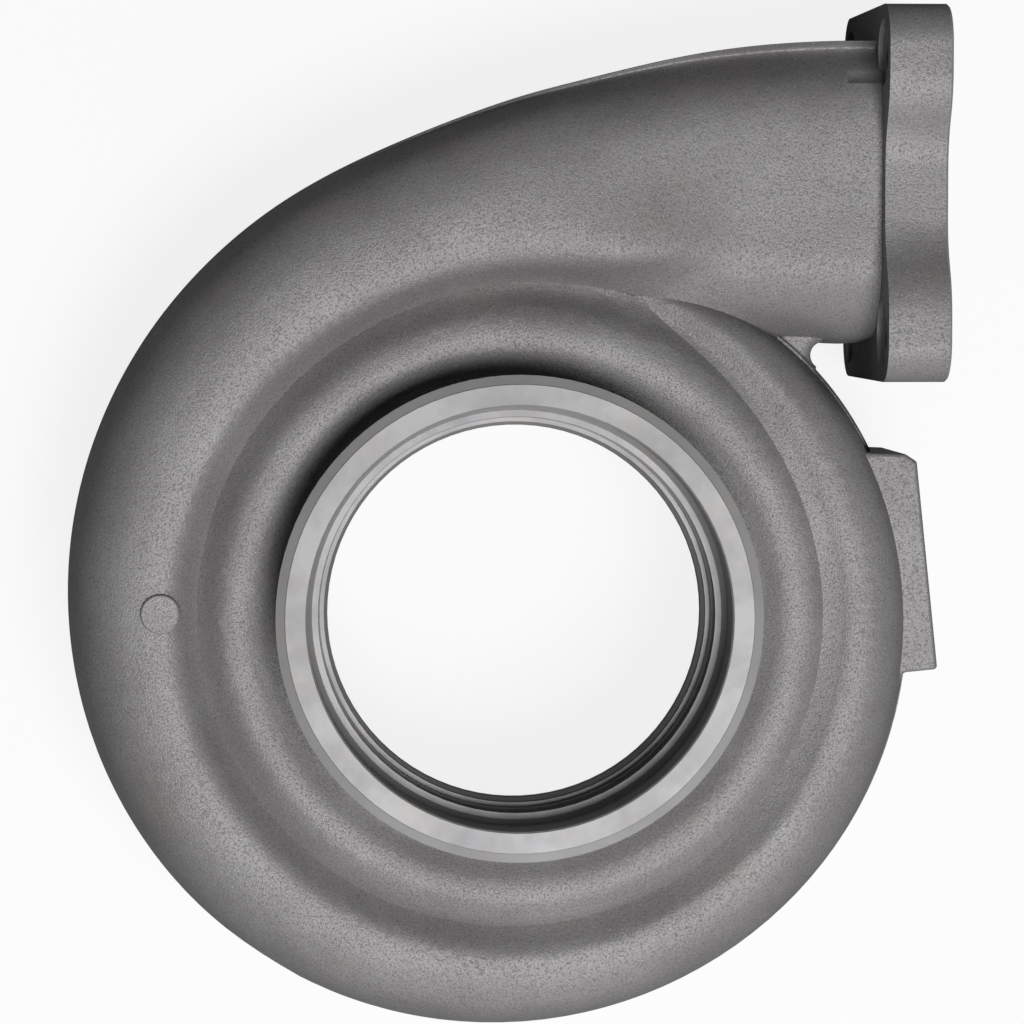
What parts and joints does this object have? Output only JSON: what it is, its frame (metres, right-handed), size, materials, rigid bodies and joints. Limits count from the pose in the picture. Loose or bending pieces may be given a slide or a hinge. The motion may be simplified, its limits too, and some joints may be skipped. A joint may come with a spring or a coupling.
{
  "type": "turbocharger turbine housing",
  "caption": "Cast iron turbine housing with a divided scroll, a lobed rectangular inlet foot with bolt holes and clamp flanges at the outlet and the bearing side.",
  "frame": {"origin": "centre of the bearing side mouth, in the plane of the bearing flange face", "axes": "+Z along the shaft towards the turbine outlet; +X out of the inlet port; +Y from the shaft towards the inlet duct. It stands on the bearing flange face."},
  "size_m": [0.3226, 0.3787, 0.14],
  "materials": {
    "cast_iron": "sand cast skin, machined on the flanges and in the bore"
  },
  "bodies": {
    "root": {"turbine_housing": "cast_iron"}
  },
  "joints": []
}
